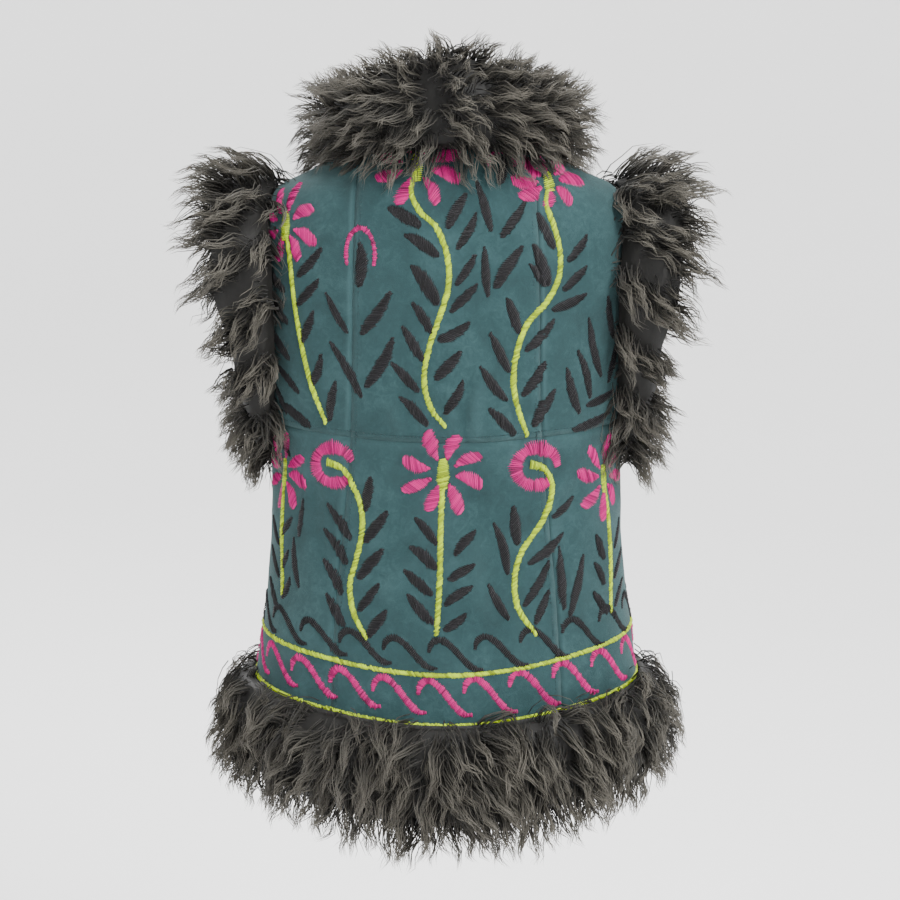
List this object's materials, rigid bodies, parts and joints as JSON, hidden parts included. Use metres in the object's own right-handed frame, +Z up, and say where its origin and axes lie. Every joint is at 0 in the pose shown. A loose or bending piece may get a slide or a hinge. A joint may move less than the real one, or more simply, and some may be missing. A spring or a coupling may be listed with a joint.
{
  "type": "embroidered folk vest",
  "caption": "Sleeveless suede vest with folk flower embroidery, a standing fur collar, fur round the armholes and a deep fur hem, filled out as worn.",
  "frame": {"origin": "middle of the shoulder line between the neck points, where the wearer's shoulders carry the vest", "axes": "+Z up, +Y the way the wearer faces, +X the wearer's right-hand side; the embroidered back faces -Y"},
  "size_m": [0.5212, 0.3362, 0.75],
  "materials": {
    "suede": "matte",
    "fur": "matte",
    "thread": "satin"
  },
  "bodies": {
    "root": {"back_yoke_centre": "suede", "back_yoke_left": "suede", "back_yoke_right": "suede", "back_lower_centre": "suede", "back_lower_left": "suede", "back_lower_right": "suede", "front_left": "suede", "front_right": "suede", "collar_fur": "fur", "armhole_fur_left": "fur", "armhole_fur_right": "fur", "hem_fur_back": "fur", "hem_fur_left": "fur", "hem_fur_right": "fur"}
  },
  "joints": []
}
